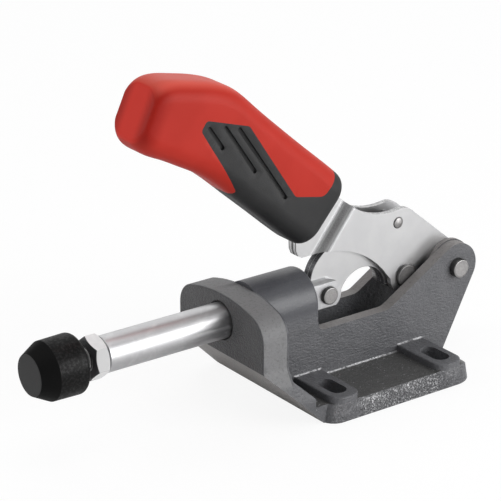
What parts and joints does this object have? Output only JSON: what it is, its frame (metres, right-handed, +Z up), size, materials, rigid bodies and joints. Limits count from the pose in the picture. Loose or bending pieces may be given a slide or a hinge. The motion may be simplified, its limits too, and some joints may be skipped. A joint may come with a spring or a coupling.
{
  "type": "toggle clamp",
  "caption": "Heavy push-pull toggle clamp: a cast base guides a straight plunger, which a two-plate handle and arched link drive and lock past dead centre.",
  "frame": {"origin": "centre of the four base slots, on the mounting face", "axes": "+Z up from the mounting face; -Y the way the plunger pushes, parallel to its axis; +X to one side of the clamp"},
  "size_m": [0.098, 0.2564, 0.1747],
  "materials": {
    "cast_paint": "semi-gloss dark grey paint over a sand casting",
    "plunger_steel": "ground and polished",
    "zinc_plate": "satin zinc plate",
    "pin_steel": "zinc plate on turned ends",
    "red_plastic": "satin moulded",
    "soft_black": "fine-grained soft inlay",
    "cap_rubber": "satin moulded"
  },
  "bodies": {
    "base": {"base_casting": "cast_paint", "pivot_pin": "pin_steel"},
    "handle": {"handle_plate_left": "zinc_plate", "handle_plate_right": "zinc_plate", "stop_pin": "pin_steel", "tang_rivets": "pin_steel", "grip_shell": "red_plastic", "grip_inlay": "soft_black", "pivot_sleeve": "pin_steel", "link_pin": "pin_steel", "link_washer_left": "pin_steel", "link_washer_right": "pin_steel"},
    "link": {"link_plate_left": "zinc_plate", "link_plate_right": "zinc_plate"},
    "plunger": {"plunger": "plunger_steel", "plunger_pin": "pin_steel", "lock_nut": "zinc_plate"},
    "pad": {"pad_screw": "zinc_plate", "rubber_cap": "cap_rubber"}
  },
  "joints": [
    {"name": "handle_swing", "type": "hinge", "parent": "base", "child": "handle", "pos_m": [0, 0.0625, 0.046], "axis": [-1, 0, 0], "range_deg": [0, 150]},
    {"name": "plunger_slide", "type": "slide", "parent": "base", "child": "plunger", "axis": [0, 1, 0], "range_m": [0, 0.0522]},
    {"name": "link_swing", "type": "hinge", "parent": "handle", "child": "link", "pos_m": [0, 0.03551, 0.04539], "axis": [-1, 0, 0], "range_deg": [-168, 0]},
    {"name": "pad_adjust", "type": "slide", "parent": "plunger", "child": "pad", "axis": [0, -1, 0], "range_m": [0, 0.01]}
  ],
  "couplings": [
    {"joint": "plunger_slide", "follows": "handle_swing", "m_per_rad": 0.019922},
    {"joint": "link_swing", "follows": "handle_swing", "ratio": -1.1182}
  ]
}
